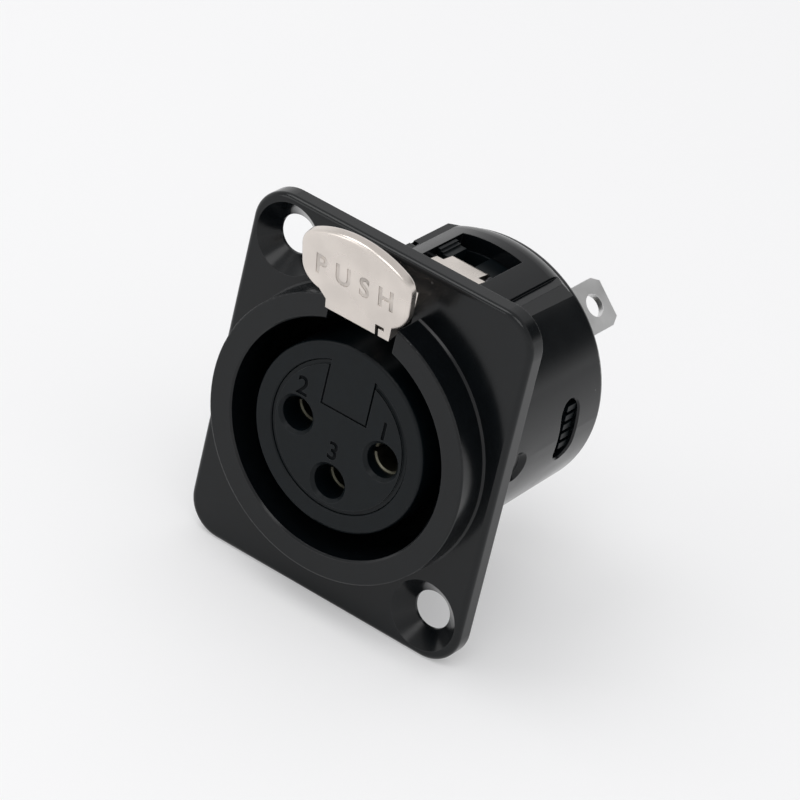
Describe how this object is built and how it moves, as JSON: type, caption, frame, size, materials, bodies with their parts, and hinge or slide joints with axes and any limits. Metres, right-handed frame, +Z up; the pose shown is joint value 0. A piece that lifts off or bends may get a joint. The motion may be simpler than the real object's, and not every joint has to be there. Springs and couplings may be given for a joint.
{
  "type": "xlr panel socket",
  "caption": "Panel-mount round audio socket with a rectangular flange, recessed contact insert, release latch and rear solder terminals.",
  "frame": {"origin": "on the socket axis, at the rear face of the flange, which lies on the panel", "axes": "+Y back along the socket axis, into the equipment; +Z up towards the latch; +X to the right seen from the front"},
  "size_m": [0.026, 0.0295, 0.0341],
  "materials": {
    "shell_black": "satin black coating on a die-cast shell",
    "insert_black": "moulded black plastic, fine matt",
    "tinned_steel": "matt tinned sheet",
    "nickel_steel": "warm satin nickel plate",
    "steel_pin": "blued spring steel",
    "contact_metal": "dull plated brass"
  },
  "bodies": {
    "socket": {"housing": "shell_black", "insert_sleeve": "insert_black", "contact_carrier": "insert_black", "rear_plate": "insert_black", "ground_lug": "tinned_steel", "latch_pin": "steel_pin", "latch_spring": "steel_pin", "contact_1": "contact_metal", "contact_2": "contact_metal", "contact_3": "contact_metal"},
    "latch": {"push_latch": "nickel_steel"}
  },
  "joints": [
    {"name": "latch_hinge", "type": "hinge", "parent": "socket", "child": "latch", "pos_m": [0, 0.01, 0.0096], "axis": [-1, 0, 0], "range_deg": [0, 6], "stiffness_Nm_per_rad": 0.02, "springref_deg": -11.46, "deforming": ["latch_spring"]}
  ]
}
